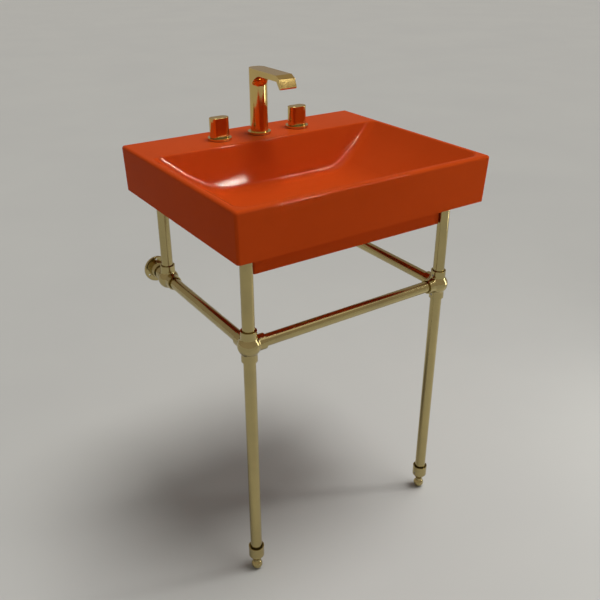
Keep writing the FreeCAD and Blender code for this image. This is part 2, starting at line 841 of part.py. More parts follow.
def valve(name, across, inward):
    """Valve body under the deck, with its cartridge, spindle, knob and knob screw."""
    at = (across, faucet_y, zero)
    shank = shank_d / 2
    low = rim - size("valve_drop")
    shank_low = rim - size("valve_shank_drop")
    inlet = size("inlet_diameter") / 2
    inlet_low = low - size("inlet_length")
    water = size("water_bore") / 2
    outer = size("cartridge_diameter") / 2
    bore = outer + thread
    cartridge_low = valve_top - size("cartridge_depth")
    body = turned(name + "_valve_turned", [
        (water, inlet_low), (inlet, inlet_low), (inlet, low), (size("valve_diameter") / 2, low),
        (size("valve_diameter") / 2, shank_low), (shank, shank_low), (shank, valve_top),
        (bore, valve_top), (bore, cartridge_low), (water, cartridge_low)])
    place(body, at)
    boss_at = (across, faucet_y, crossover_z)
    boss = rod(name + "_valve_boss", size("boss_diameter"), boss_reach - shank,
               moved(boss_at, inward, shank), inward)
    way = rod(name + "_valve_way", size("water_bore") - 2 * thread, boss_reach, boss_at, inward)
    pipe = rod(name + "_valve_pipe", size("crossover_diameter") + 2 * thread, overrun,
               moved(boss_at, inward, boss_reach - size("crossover_seat")), inward)
    solid = fuse(name + "_valve_solid", [body, boss])
    keep(name + "_valve", cut(name + "_valve", solid, [way, pipe]))

    spindle = size("spindle_diameter") / 2
    hole = spindle + size("spindle_fit")
    chamber = size("disc_chamber") / 2
    chamber_low = chamber_top - size("disc_chamber_height")
    head = size("cartridge_head") / 2
    cartridge = turned(name + "_cartridge_turned", [
        (water, cartridge_low), (outer, cartridge_low), (outer, valve_top), (head, valve_top),
        (head, head_top), (hole, head_top), (hole, chamber_top), (chamber, chamber_top),
        (chamber, chamber_low), (water, chamber_low)])
    place(cartridge, at)
    window = rod(name + "_cartridge_window", size("cartridge_window"), size("cartridge_diameter"),
                 boss_at, inward)
    keep(name + "_cartridge", cut(name + "_cartridge", cartridge, [window]))

    gap = size("chamber_gap")
    spline = size("spline_diameter") / 2
    stem = turned(name + "_spindle", [
        (0, chamber_low + gap), (chamber - gap, chamber_low + gap), (chamber - gap, chamber_top - gap),
        (spindle, chamber_top - gap), (spindle, spindle_shoulder), (spline, spindle_shoulder),
        (spline, spline_top), (0, spline_top)])
    keep(name + "_spindle", place(stem, at))

    half_depth = size("knob_depth") / 2
    half_length = size("knob_length") / 2
    half_flat = half_length - half_depth
    knob_high = knob_low + size("knob_height")
    bar = padded(name + "_knob_bar", "XY_Plane", [
        (-half_flat, -half_depth, half_depth, 1), (half_flat, -half_depth),
        (half_length, 0, half_depth, 1), (half_flat, half_depth, half_depth, 1),
        (-half_flat, half_depth), (-half_length, 0, half_depth, 1)], size("knob_height"))
    place(bar, (across, faucet_y, knob_low))
    grip = rounded(name + "_knob_round", bar, size("knob_edge"),
                   lambda edge: flat_at(edge, knob_high.number))
    cavity = rod(name + "_knob_cavity", size("knob_cavity"),
                 size("knob_cavity_height") + overrun,
                 (across, faucet_y, knob_low - overrun))
    fit = rod(name + "_knob_fit", size("spline_diameter") + 2 * size("spindle_fit"),
              spline_top - knob_low, (across, faucet_y, knob_low))
    screw_z = knob_low + size("knob_cavity_height") + size("knob_screw_rise")
    screw_at = moved((across, faucet_y, screw_z), "+Y", spline)
    screw_hole = rod(name + "_knob_screw_hole", size("knob_screw_diameter"), half_length, screw_at, "+Y")
    keep(name + "_knob", cut(name + "_knob", grip, [cavity, fit, screw_hole]))
    keep(name + "_knob_screw", rod(
        name + "_knob_screw", size("knob_screw_diameter") - 2 * size("spindle_fit"),
        half_depth - spline - size("grub_sink"), screw_at, "+Y"))


def deck_hardware():
    """Base discs, rubber rings, washers and lock nuts at the three deck holes."""
    rings = []
    washers = []
    nuts = []
    hole = shank_d + 2 * thread
    washer_low = deck_under - size("washer_thickness")
    nut_low = washer_low - size("lock_nut_height")
    ring_out = size("deck_hole") / 2 + size("ring_wall")
    for name, across in (("hot", -size("faucet_spacing") / 2), ("spout", zero),
                         ("cold", size("faucet_spacing") / 2)):
        at = (across, faucet_y, disc_low)
        disc = turned(name + "_disc", [
            (hole / 2, 0), (size("disc_diameter") / 2, 0), (size("disc_diameter") / 2,
             size("disc_height")), (hole / 2, size("disc_height"))])
        keep(name + "_disc", place(disc, at))
        ring = turned(name + "_ring", [
            (size("deck_hole") / 2, 0), (ring_out, 0), (ring_out, size("ring_thickness")),
            (size("deck_hole") / 2, size("ring_thickness"))])
        rings.append(place(ring, (across, faucet_y, rim)))
        washer = turned(name + "_washer", [
            (hole / 2, 0), (size("washer_diameter") / 2, 0),
            (size("washer_diameter") / 2, size("washer_thickness")),
            (hole / 2, size("washer_thickness"))])
        washers.append(place(washer, (across, faucet_y, washer_low)))
        blank = hexagon(name + "_nut_blank", size("lock_nut_flats"), size("lock_nut_height"),
                        (across, faucet_y, nut_low))
        bore = rod(name + "_nut_bore", hole, size("lock_nut_height") + overrun,
                   (across, faucet_y, nut_low - overrun / 2))
        nuts.append(cut(name + "_nut", blank, [bore]))
    keep("deck_rings", group("deck_rings", rings))
    keep("deck_washers", group("deck_washers", washers))
    keep("deck_lock_nuts", group("deck_lock_nuts", nuts))


def spout():
    """Column with a flat arm and a turned-down nose, its shank with a tee, and the aerator."""
    column_r = size("column_diameter") / 2
    top = rim + size("spout_height")
    under = top - size("arm_thickness")
    column = rod("spout_column", size("column_diameter"), top - disc_top, (zero, faucet_y, disc_top))
    half_arm = column_r - size("arm_inset")

    def ahead(name):
        return faucet_y - size(name)

    arm = padded("spout_arm", "YZ_Plane", [
        (faucet_y, under), (faucet_y, top), (ahead("arm_top_reach"), top),
        (ahead("nose_shoulder_reach"), top - size("nose_shoulder_drop")),
        (ahead("nose_reach"), top - size("nose_tip_drop")),
        (ahead("nose_reach") + size("nose_bevel"), top - size("nose_drop")),
        (ahead("nose_heel_reach"), top - size("nose_drop")),
        (ahead("arm_under_reach"), under)], half_arm * 2, -half_arm)
    fillet = size("spout_fillet")
    flare = turned("spout_flare_turned", [
        (0, under - fillet), (column_r, under - fillet), (column_r + fillet, under, fillet, -1),
        (column_r + fillet, under + fillet / 5), (0, under + fillet / 5)])
    place(flare, (zero, faucet_y, zero))
    window = block("spout_flare_window", (-half_arm, faucet_y - column_r - fillet * 2, disc_top),
                   (half_arm, faucet_y, under + fillet / 10))
    web = common("spout_flare", flare, window)
    solid = fuse("spout_solid", [column, arm, web])
    outlet_at = faucet_y - size("aerator_reach")
    channel_z = (under + top) / 2
    tools = [
        rod("spout_socket_bore", shank_d + 2 * thread, size("spout_socket"), (zero, faucet_y, disc_top)),
        rod("spout_water_bore", size("spout_bore"), top - size("spout_roof") - disc_top,
            (zero, faucet_y, disc_top)),
        rod("spout_channel_bore", size("spout_channel"), size("aerator_reach"),
            (zero, faucet_y, channel_z), "-Y"),
        rod("spout_outlet_bore", size("aerator_diameter"), size("aerator_depth") + overrun,
            (zero, outlet_at, under - overrun)),
    ]
    keep("spout", cut("spout", solid, tools))

    screen_r = size("aerator_diameter") / 2 - size("aerator_clearance")
    inner = screen_r - size("aerator_rim")
    aerator = turned("aerator", [
        (inner, 0), (screen_r, 0), (screen_r, size("aerator_depth")),
        (0, size("aerator_depth")), (0, size("aerator_depth") - size("aerator_screen")),
        (inner, size("aerator_depth") - size("aerator_screen"))])
    keep("aerator", place(aerator, (zero, outlet_at, under)))

    tee_low = crossover_z - size("tee_height") / 2
    tee_high = crossover_z + size("tee_height") / 2
    water = size("water_bore") / 2
    stem = turned("spout_shank_turned", [
        (0, tee_low), (size("tee_diameter") / 2, tee_low), (size("tee_diameter") / 2, tee_high),
        (shank_d / 2, tee_high), (shank_d / 2, disc_top + size("spout_socket")),
        (water, disc_top + size("spout_socket")), (water, crossover_z - water), (0, crossover_z - water)])
    place(stem, (zero, faucet_y, zero))
    at = (zero, faucet_y, crossover_z)
    bosses = []
    ways = []
    for name, axis in (("left", "-X"), ("right", "+X")):
        bosses.append(rod("tee_%s_boss" % name, size("boss_diameter"), boss_reach - shank_d / 2,
                          moved(at, axis, shank_d / 2), axis))
        ways.append(rod("tee_%s_way" % name, size("water_bore") - 2 * thread, boss_reach, at, axis))
        ways.append(rod("tee_%s_pipe" % name, size("crossover_diameter") + 2 * thread, overrun,
                        moved(at, axis, boss_reach - size("crossover_seat")), axis))
    keep("spout_shank", cut("spout_shank", fuse("spout_shank_solid", [stem] + bosses), ways))


def crossovers():
    """Rigid tubes from the valves to the tee, held by coupling nuts."""
    span = size("faucet_spacing") / 2 - 2 * (boss_reach - size("crossover_seat"))
    start = boss_reach - size("crossover_seat")
    nuts = []
    boss_in = size("boss_diameter") / 2 + thread
    pipe_in = size("crossover_diameter") / 2 + thread
    outer = size("coupling_diameter") / 2
    cover = size("coupling_cover")
    for name, across, outward in (("hot", -size("faucet_spacing") / 2, "-X"),
                                  ("cold", size("faucet_spacing") / 2, "+X")):
        pipe = tube(name + "_crossover", size("crossover_diameter"), size("crossover_wall"), span)
        centre = (zero, faucet_y, crossover_z)
        keep(name + "_crossover", place(pipe, moved(centre, outward, start), outward))
        inward = "+X" if outward == "-X" else "-X"
        valve_end = moved((across, faucet_y, crossover_z), inward, boss_reach)
        tee_end = moved(centre, outward, boss_reach)
        for end_name, end, axis in (("valve", valve_end, inward), ("tee", tee_end, outward)):
            nut = turned("%s_%s_coupling" % (name, end_name), [
                (boss_in, -cover), (outer, -cover), (outer, size("coupling_neck")),
                (pipe_in, size("coupling_neck")), (pipe_in, 0), (boss_in, 0)])
            nuts.append(place(nut, end, axis))
    keep("coupling_nuts", group("coupling_nuts", nuts))


def drain():
    """Drain body clamped in the bowl floor, tailpiece, guide and the push stopper."""
    at = (zero, drain_y, bowl_floor)
    flange = size("drain_flange") / 2
    seal_top = -size("drain_flange_height")
    seal_low = -recess_depth
    thread_r = size("drain_thread") / 2
    bore = size("drain_bore") / 2
    low = -size("drain_length")
    shoulder = -size("drain_shoulder_drop")
    socket_top = low + size("tail_socket")
    tail_r = size("tail_diameter") / 2
    tail_in = tail_r - size("tail_wall")
    tail_thread = size("tail_thread") / 2
    tail_low = low - size("tail_length")
    body = turned("drain_body", [
        (bore, 0), (flange, 0), (flange, seal_top), (thread_r, seal_top), (thread_r, low),
        (tail_thread + thread, low), (tail_thread + thread, socket_top),
        (size("drain_shoulder_bore") / 2, socket_top), (size("drain_shoulder_bore") / 2, shoulder),
        (bore, shoulder)])
    keep("drain_body", place(body, at))
    seal_in = thread_r + thread
    upper = turned("drain_upper_seal", [
        (seal_in, seal_low), (flange, seal_low), (flange, seal_top), (seal_in, seal_top)])
    keep("drain_upper_seal", place(upper, at))
    under = -size("ceramic_wall")
    lower_low = under - size("lower_seal_height")
    lower = turned("drain_lower_seal", [
        (seal_in, lower_low), (size("lower_seal_diameter") / 2, lower_low),
        (size("lower_seal_diameter") / 2, under), (seal_in, under)])
    keep("drain_lower_seal", place(lower, at))
    nut_low = bowl_floor + lower_low - size("drain_nut_height")
    blank = hexagon("drain_nut_blank", size("drain_nut_flats"), size("drain_nut_height"),
                    (zero, drain_y, nut_low))
    hole = rod("drain_nut_bore", 2 * seal_in, size("drain_nut_height") + overrun,
               (zero, drain_y, nut_low - overrun / 2))
    keep("drain_lock_nut", cut("drain_lock_nut", blank, [hole]))
    tail = turned("tailpiece", [
        (tail_in, tail_low), (tail_r, tail_low), (tail_r, low), (tail_thread, low),
        (tail_thread, socket_top), (tail_in, socket_top)])
    keep("tailpiece", place(tail, at))

    stem_r = size("stopper_stem") / 2
    guide_z = bowl_floor + shoulder
    hub = rod("guide_hub_rod", size("guide_hub"), size("guide_height"), (zero, drain_y, guide_z))
    rim_in = size("drain_shoulder_bore") / 2
    ring = turned("guide_ring", [
        (rim_in, 0), (bore - thread, 0), (bore - thread, size("guide_height") / 2),
        (rim_in, size("guide_height") / 2)])
    place(ring, (zero, drain_y, guide_z))
    half_rib = size("guide_rib") / 2
    half_span = bore - size("guide_rib") / 2
    ribs = [
        block("guide_rib_across", (-half_span, drain_y - half_rib, guide_z),
              (half_span, drain_y + half_rib, guide_z + size("guide_height") / 2)),
        block("guide_rib_along", (-half_rib, drain_y - half_span, guide_z),
              (half_rib, drain_y + half_span, guide_z + size("guide_height") / 2)),
    ]
    passage = rod("guide_bore", size("stopper_stem") + 2 * size("spindle_fit"),
                  size("guide_height") + overrun, (zero, drain_y, guide_z - overrun / 2))
    keep("stopper_guide", cut("stopper_guide", fuse("guide_solid", [hub, ring] + ribs), [passage]))

    seal_z = size("stopper_gap")
    cap_low = seal_z + size("stopper_seal_height")
    cap_r = size("stopper_diameter") / 2
    dome = size("stopper_dome")
    edge_top = cap_low + size("stopper_edge")
    dome_radius = (cap_r * cap_r + dome * dome) / (2 * dome)
    cap = turned("stopper_cap", [
        (0, cap_low), (cap_r, cap_low), (cap_r, edge_top), (0, edge_top + dome, dome_radius, 1)])
    keep("stopper_cap", place(cap, at))
    ring_out = cap_r - size("stopper_gap") * 5
    seal = turned("stopper_seal", [
        (ring_out - size("stopper_seal_wall"), seal_z), (ring_out, seal_z), (ring_out, cap_low),
        (ring_out - size("stopper_seal_wall"), cap_low)])
    keep("stopper_seal", place(seal, at))
    stem_low = shoulder - size("stopper_stem_overrun")
    stem = turned("stopper_stem", [(0, stem_low), (stem_r, stem_low), (stem_r, cap_low), (0, cap_low)])
    keep("stopper_stem", place(stem, at))


basin()
stand()
deck_hardware()
valve("hot", -size("faucet_spacing") / 2, "+X")
valve("cold", size("faucet_spacing") / 2, "-X")
spout()
crossovers()
drain()

document.recompute()
for item in document.Objects:
    if "Invalid" in item.State or "Error" in item.State:
        raise RuntimeError("object did not build: " + item.Label)
os.makedirs("parts", exist_ok=True)
for name, item in nodes.items():
    shape = item.Shape
    if shape.isNull() or not shape.isValid():
        raise RuntimeError("shape is not valid: " + name)
    shape.exportStep("parts/%s.step" % name)
print(len(nodes), "nodes")
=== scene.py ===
"""Looks of the console sink: glaze, brass and the small fittings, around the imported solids.

Metres, in the frame of the solids: X right along the wall, Y into the wall, Z up.
"""
import bmesh
import bpy
import json
import math
from mathutils import Matrix, Vector


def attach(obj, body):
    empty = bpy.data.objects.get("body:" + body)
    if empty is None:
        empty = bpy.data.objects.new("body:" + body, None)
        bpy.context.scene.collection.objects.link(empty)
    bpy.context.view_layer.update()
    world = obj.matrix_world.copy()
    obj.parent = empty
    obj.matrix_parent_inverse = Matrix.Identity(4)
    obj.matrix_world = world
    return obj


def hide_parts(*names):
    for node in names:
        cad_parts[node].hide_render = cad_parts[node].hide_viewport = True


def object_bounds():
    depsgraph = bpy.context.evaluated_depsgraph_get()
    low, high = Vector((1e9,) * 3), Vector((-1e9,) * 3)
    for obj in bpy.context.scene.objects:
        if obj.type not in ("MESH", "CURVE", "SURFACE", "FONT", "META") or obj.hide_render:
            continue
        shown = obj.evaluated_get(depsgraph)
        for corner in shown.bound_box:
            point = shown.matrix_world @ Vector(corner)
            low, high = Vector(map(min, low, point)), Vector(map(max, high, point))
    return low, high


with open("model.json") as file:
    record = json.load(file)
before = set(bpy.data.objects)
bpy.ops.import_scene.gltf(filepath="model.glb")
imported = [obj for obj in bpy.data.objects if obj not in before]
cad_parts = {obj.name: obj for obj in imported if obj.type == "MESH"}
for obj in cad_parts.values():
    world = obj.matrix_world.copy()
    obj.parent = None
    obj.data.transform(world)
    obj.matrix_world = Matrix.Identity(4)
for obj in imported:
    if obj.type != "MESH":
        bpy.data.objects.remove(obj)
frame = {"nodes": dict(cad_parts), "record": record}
cad_low, cad_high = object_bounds()
nodes = frame["nodes"]
scene = bpy.context.scene

# view of the photograph: place and aim worked out from the basin's and stand's corners
CAMERA_PLACE = Vector((-0.8451, -1.4963, 0.4819))
CAMERA_HEADING = math.radians(33.94)
CAMERA_DIP = math.radians(27.26)
CAMERA_LENS = 43.97
CAMERA_SENSOR = 36.0

FLOOR_REACH = 60.0
FLOOR_ROUGHNESS = 0.6
WARM = (1.0, 0.84, 0.66)
LIT_TINT = (1.0, 0.985, 0.96, 1.0)
SEEN_TINT = (1.0, 0.88, 0.75, 1.0)
LIT_SIDE = (0.45, -0.25, 0.86)
PALE_SIDE = (0.70, 0.60, 0.38)

# how far along the side, then how bright, from the far end to the near one
LIT_SPREAD = (-0.6, 0.9, 0.06, 0.23)
PALE_SPREAD = (-0.5, 1.0, 0.40, 0.31)


# shader helpers

# places of the colour sockets on a mix node
MIX_SHARE = 0
MIX_FIRST = 6
MIX_SECOND = 7
MIX_RESULT = 2


def add(tree, kind, **settings):
    """A new shader node with some of its settings."""
    made = tree.nodes.new(kind)
    for name, value in settings.items():
        setattr(made, name, value)
    return made


def join(tree, source, target):
    """A link from an output socket to an input socket."""
    tree.links.new(source, target)


def new_group(name, inputs, outputs):
    """An empty shader node group with named sockets, and its two end nodes."""
    tree = bpy.data.node_groups.new(name, "ShaderNodeTree")
    for label, kind, value in inputs:
        made = tree.interface.new_socket(label, in_out="INPUT", socket_type="NodeSocket" + kind)
        if value is not None:
            made.default_value = value
    for label, kind in outputs:
        tree.interface.new_socket(label, in_out="OUTPUT", socket_type="NodeSocket" + kind)
    return tree, add(tree, "NodeGroupInput"), add(tree, "NodeGroupOutput")


def noise(tree, vector, scale, detail, roughness=0.5):
    """A noise texture that reads the given coordinates."""
    made = add(tree, "ShaderNodeTexNoise")
    made.inputs["Detail"].default_value = detail
    made.inputs["Roughness"].default_value = roughness
    join(tree, vector, made.inputs["Vector"])
    if isinstance(scale, float):
        made.inputs["Scale"].default_value = scale
    else:
        join(tree, scale, made.inputs["Scale"])
    return made.outputs["Fac"]


def spread(tree, value, low, high, to_low, to_high):
    """A value moved from one range to another, ends given as numbers or sockets."""
    made = add(tree, "ShaderNodeMapRange")
    join(tree, value, made.inputs["Value"])
    ends = zip(("From Min", "From Max", "To Min", "To Max"), (low, high, to_low, to_high))
    for label, end in ends:
        if isinstance(end, float):
            made.inputs[label].default_value = end
        else:
            join(tree, end, made.inputs[label])
    return made.outputs["Result"]


def blend_colours(tree, share, first, second):
    """A mix of two colours by a mask, each a socket."""
    made = add(tree, "ShaderNodeMix", data_type="RGBA")
    join(tree, share, made.inputs[MIX_SHARE])
    join(tree, first, made.inputs[MIX_FIRST])
    join(tree, second, made.inputs[MIX_SECOND])
    return made.outputs[MIX_RESULT]


def combine(tree, operation, first, second):
    """A math node on two sockets or numbers."""
    made = add(tree, "ShaderNodeMath", operation=operation)
    for place, value in enumerate((first, second)):
        if isinstance(value, float):
            made.inputs[place].default_value = value
        else:
            join(tree, value, made.inputs[place])
    return made.outputs[0]


# effects that several finishes share

def make_drift():
    """Slow change between two tints over the surface."""
    tree, start, end = new_group("Tint drift", [
        ("Vector", "Vector", None), ("Tint", "Color", None), ("Other tint", "Color", None),
        ("Scale", "Float", 6.0)], [("Color", "Color")])
    broad = noise(tree, start.outputs["Vector"], start.outputs["Scale"], 4.0, 0.6)
    mask = spread(tree, broad, 0.35, 0.68, 0.0, 1.0)
    colour = blend_colours(tree, mask, start.outputs["Tint"], start.outputs["Other tint"])
    join(tree, colour, end.inputs["Color"])
    return tree


def make_brushing():
    """Fine lines left by polishing, drawn out along one axis by the stretched coordinates."""
    tree, start, end = new_group("Polishing lines", [
        ("Vector", "Vector", None), ("Scale", "Float", 400.0)], [("Height", "Float")])
    fine = noise(tree, start.outputs["Vector"], start.outputs["Scale"], 3.0, 0.6)
    coarse_scale = combine(tree, "MULTIPLY", start.outputs["Scale"], 0.31)
    coarse = noise(tree, start.outputs["Vector"], coarse_scale, 2.0)
    height = combine(tree, "ADD", combine(tree, "MULTIPLY", fine, 0.6),
                     combine(tree, "MULTIPLY", coarse, 0.4))
    join(tree, height, end.inputs["Height"])
    return tree


def make_smudges():
    """Roughness that changes where hands, water and cloth have been."""
    tree, start, end = new_group("Smudges", [
        ("Vector", "Vector", None), ("Scale", "Float", 20.0), ("Clean", "Float", 0.1),
        ("Dull", "Float", 0.2)], [("Roughness", "Float")])
    cloud = noise(tree, start.outputs["Vector"], start.outputs["Scale"], 5.0, 0.62)
    rough = spread(tree, cloud, 0.38, 0.72, start.outputs["Clean"], start.outputs["Dull"])
    join(tree, rough, end.inputs["Roughness"])
    return tree


DRIFT = make_drift()
BRUSHING = make_brushing()
SMUDGES = make_smudges()


def place_group(tree, group, vector, **values):
    """A shared effect placed in a material with its own values."""
    made = add(tree, "ShaderNodeGroup", node_tree=group)
    join(tree, vector, made.inputs["Vector"])
    for label, value in values.items():
        made.inputs[label.replace("_", " ")].default_value = value
    return made


def new_material(name):
    """A material with its tree, its shader and its object coordinates."""
    material = bpy.data.materials.new(name)
    material.use_nodes = True
    tree = material.node_tree
    shader = tree.nodes["Principled BSDF"]
    where = add(tree, "ShaderNodeTexCoord").outputs["Object"]
    return material, tree, shader, where


def stretched(tree, where, scale):
    """Object coordinates scaled apart on each axis."""
    made = add(tree, "ShaderNodeMapping")
    made.inputs["Scale"].default_value = scale
    join(tree, where, made.inputs["Vector"])
    return made.outputs["Vector"]


def bump(tree, shader, height, strength, distance):
    """Relief of a height in metres on the shader's normal."""
    made = add(tree, "ShaderNodeBump")
    made.inputs["Strength"].default_value = strength
    made.inputs["Distance"].default_value = distance
    join(tree, height, made.inputs["Height"])
    join(tree, made.outputs["Normal"], shader.inputs["Normal"])


# finishes

# lower than a real glaze has, so that the pale surroundings don't veil the colour
GLAZE_INDEX = 1.05
GLAZE_WAVE = 0.0006
LINE_DEPTH = 0.00005
GRAIN_DEPTH = 0.0002


def glaze():
    """Orange-red glaze on fireclay: even colour, smooth, a faint wave in the surface."""
    material, tree, shader, where = new_material("Orange glaze")
    tint = place_group(tree, DRIFT, where, Tint=(0.60, 0.070, 0.009, 1.0),
                       Other_tint=(0.57, 0.065, 0.008, 1.0), Scale=7.0)
    join(tree, tint.outputs["Color"], shader.inputs["Base Color"])
    sheen = place_group(tree, SMUDGES, where, Scale=14.0, Clean=0.03, Dull=0.045)
    join(tree, sheen.outputs["Roughness"], shader.inputs["Roughness"])
    wave = noise(tree, where, 34.0, 2.0)
    bump(tree, shader, wave, strength=0.02, distance=GLAZE_WAVE)
    shader.inputs["IOR"].default_value = GLAZE_INDEX
    return material


def brass(name, tint, other_tint, clean, dull, lines, relief):
    """Brass with polishing lines drawn out along one axis, drifting tint and smudges."""
    material, tree, shader, where = new_material(name)
    shader.inputs["Metallic"].default_value = 1.0
    colour = place_group(tree, DRIFT, where, Tint=tint, Other_tint=other_tint, Scale=11.0)
    join(tree, colour.outputs["Color"], shader.inputs["Base Color"])
    sheen = place_group(tree, SMUDGES, where, Scale=38.0, Clean=clean, Dull=dull)
    join(tree, sheen.outputs["Roughness"], shader.inputs["Roughness"])
    drawn = place_group(tree, BRUSHING, stretched(tree, where, lines), Scale=1.0)
    bump(tree, shader, drawn.outputs["Height"], relief, LINE_DEPTH)
    return material


SATIN = ((0.49, 0.40, 0.18, 1.0), (0.43, 0.35, 0.165, 1.0))
SATIN_SURFACE = {"clean": 0.14, "dull": 0.21, "relief": 0.05}
POLISHED = ((0.72, 0.52, 0.19, 1.0), (0.66, 0.475, 0.17, 1.0))
RAW = ((0.58, 0.42, 0.16, 1.0), (0.45, 0.31, 0.11, 1.0))
ALONG_X = (12.0, 900.0, 900.0)
ALONG_Y = (900.0, 12.0, 900.0)
ALONG_Z = (900.0, 900.0, 12.0)
EVERY_WAY = (500.0, 500.0, 500.0)


def plain_steel():
    """Plain turned steel."""
    material, tree, shader, where = new_material("Steel")
    shader.inputs["Metallic"].default_value = 1.0
    colour = place_group(tree, DRIFT, where, Tint=(0.55, 0.55, 0.56, 1.0),
                         Other_tint=(0.44, 0.44, 0.45, 1.0), Scale=60.0)
    join(tree, colour.outputs["Color"], shader.inputs["Base Color"])
    sheen = place_group(tree, SMUDGES, where, Scale=90.0, Clean=0.22, Dull=0.42)
    join(tree, sheen.outputs["Roughness"], shader.inputs["Roughness"])
    return material


def moulded(name, tint, other_tint, clean, dull, grain, relief):
    """Moulded rubber or plastic with a fine matte grain."""
    material, tree, shader, where = new_material(name)
    colour = place_group(tree, DRIFT, where, Tint=tint, Other_tint=other_tint, Scale=50.0)
    join(tree, colour.outputs["Color"], shader.inputs["Base Color"])
    sheen = place_group(tree, SMUDGES, where, Scale=80.0, Clean=clean, Dull=dull)
    join(tree, sheen.outputs["Roughness"], shader.inputs["Roughness"])
    bump(tree, shader, noise(tree, where, grain, 3.0), relief, GRAIN_DEPTH)
    return material


FINISHES = {
    "ceramic": glaze(),
    "polished_brass": brass("Polished brass", *POLISHED, clean=0.07, dull=0.15,
                            lines=EVERY_WAY, relief=0.03),
    "satin_brass": brass("Satin brass", *SATIN, lines=ALONG_Z, **SATIN_SURFACE),
    "raw_brass": brass("Raw brass", *RAW, clean=0.30, dull=0.46, lines=EVERY_WAY, relief=0.15),
    "steel": plain_steel(),
    "rubber": moulded("Rubber", (0.022, 0.022, 0.022, 1.0), (0.035, 0.034, 0.033, 1.0),
                      clean=0.55, dull=0.75, grain=900.0, relief=0.25),
    "plastic": moulded("Plastic", (0.70, 0.70, 0.67, 1.0), (0.62, 0.62, 0.59, 1.0),
                       clean=0.35, dull=0.5, grain=700.0, relief=0.15),
}
SATIN_ACROSS = brass("Satin brass across", *SATIN, lines=ALONG_X, **SATIN_SURFACE)
SATIN_DEEP = brass("Satin brass deep", *SATIN, lines=ALONG_Y, **SATIN_SURFACE)


def dress(node, material):
    """Give a carried-over solid its finish."""
    target = nodes[node]
    target.data.materials.clear()
    target.data.materials.append(material)


def dress_nodes():
    """Every solid takes the finish of its material slot in the record."""
    for part in frame["record"]["subparts"]:
        dress(part["node"], FINISHES[part["material_slot"]])
    dress("front_rail", SATIN_ACROSS)
    for name in ("left_rail", "right_rail", "left_wall_stub", "right_wall_stub"):
        dress(name, SATIN_DEEP)


# modelled pieces, drawn in millimetres

MILLIMETRE = 0.001
SIDES = 40
SMALL_SIDES = 24
HEXAGON = 6
TURN_STEPS = 30
SHARP = math.radians(32.0)
LEG_X = 246.7
FRONT_Y = -430.8
REAR_Y = -66.0
RAIL_Z = -244.5
FLOOR_Z = -835.0
FAUCET_Y = -76.0
VALVE_X = 101.6
CROSSOVER_Z = 15.0
DRAIN_Y = -300.0
BOWL_FLOOR = -36.0
ARM_UNDER = 189.2
AERATOR_Y = -168.0
TUBE_RADIUS = 12.7
COLLAR_SCREW_REACH = 23.6
FOOT_SCREW_RISE = 48.5
HUB_Y = -14.0
KNOB_SCREW_Z = 83.0
DECK_NUT_Z = 27.0
DRAIN_NUT_DROP = 34.0
INNER_COUPLING_X = 28.0
OUTER_COUPLING_X = 73.6
WATER_WAY = 4.5
SHANK_CORE = 13.2

# root radius, crest radius and pitch
INLET_THREAD = (9.4, 10.48, 1.814)
SHANK_THREAD = (13.15, 14.0, 1.5)
DRAIN_THREAD = (20.6, 21.5, 2.2)

UP = Vector((0.0, 0.0, 1.0))
DOWN = Vector((0.0, 0.0, -1.0))


def facing(place, axis):
    """The place of a piece whose own upright axis is turned to a direction."""
    turn = UP.rotation_difference(Vector(axis)).to_matrix().to_4x4()
    return Matrix.Translation(place) @ turn


def ring(mesh, where, sides, radius, height):
    """A closed loop of edges square to the axis; a hexagon has corners at its sides."""
    turn = Matrix.Rotation(math.pi / HEXAGON if sides == HEXAGON else 0.0, 4, "Z")
    level = where @ Matrix.Translation((0.0, 0.0, height)) @ turn
    made = bmesh.ops.create_circle(mesh, segments=sides, radius=radius, matrix=level)
    return list({edge for vert in made["verts"] for edge in vert.link_edges})


def loft(mesh, where, rings, hollow=False):
    """A skin through rings of (sides, radius, height); a hollow one runs back to its first ring."""
    loops = [ring(mesh, where, *each) for each in rings]
    for first, second in zip(loops, loops[1:]):
        bmesh.ops.bridge_loops(mesh, edges=first + second)
    if hollow:
        bmesh.ops.bridge_loops(mesh, edges=loops[-1] + loops[0])
    else:
        bmesh.ops.holes_fill(mesh, edges=loops[0] + loops[-1], sides=0)


def turned(mesh, where, outline, hollow=False):
    """A round skin through points of (radius, height)."""
    loft(mesh, where, [(SIDES, radius, height) for radius, height in outline], hollow)


def thread(mesh, across, depth, low, high, root, crest, pitch):
    """A helical ridge of three-sided section about an upright axis."""
    section = [(root, low), (crest, low + pitch / 2), (root, low + pitch)]
    corners = [mesh.verts.new((across + radius, depth, height)) for radius, height in section]
    edges = [mesh.edges.new((corners[index - 1], corners[index])) for index in range(3)]
    steps = int((high - low - pitch) / pitch * TURN_STEPS)
    bmesh.ops.spin(mesh, geom=corners + edges, cent=(across, depth, 0.0), axis=UP,
                   dvec=(0.0, 0.0, pitch / TURN_STEPS), angle=steps * math.tau / TURN_STEPS,
                   steps=steps, use_duplicate=False)
    open_ends = [edge for edge in mesh.edges if edge.is_boundary]
    bmesh.ops.holes_fill(mesh, edges=open_ends, sides=3)


def finish_piece(name, mesh, slot, replaced, body="sink"):
    """Turn a drawing into a piece that stands for some solids and moves with a body."""
    bmesh.ops.scale(mesh, vec=(MILLIMETRE,) * 3, verts=mesh.verts)
    bmesh.ops.recalc_face_normals(mesh, faces=mesh.faces)
    data = bpy.data.meshes.new(name)
    mesh.to_mesh(data)
    mesh.free()
    data.shade_smooth()
    data.set_sharp_from_angle(angle=SHARP)
    data.materials.append(FINISHES[slot])
    made = bpy.data.objects.new(name, data)
    scene.collection.objects.link(made)
    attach(made, body)
    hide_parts(*replaced)


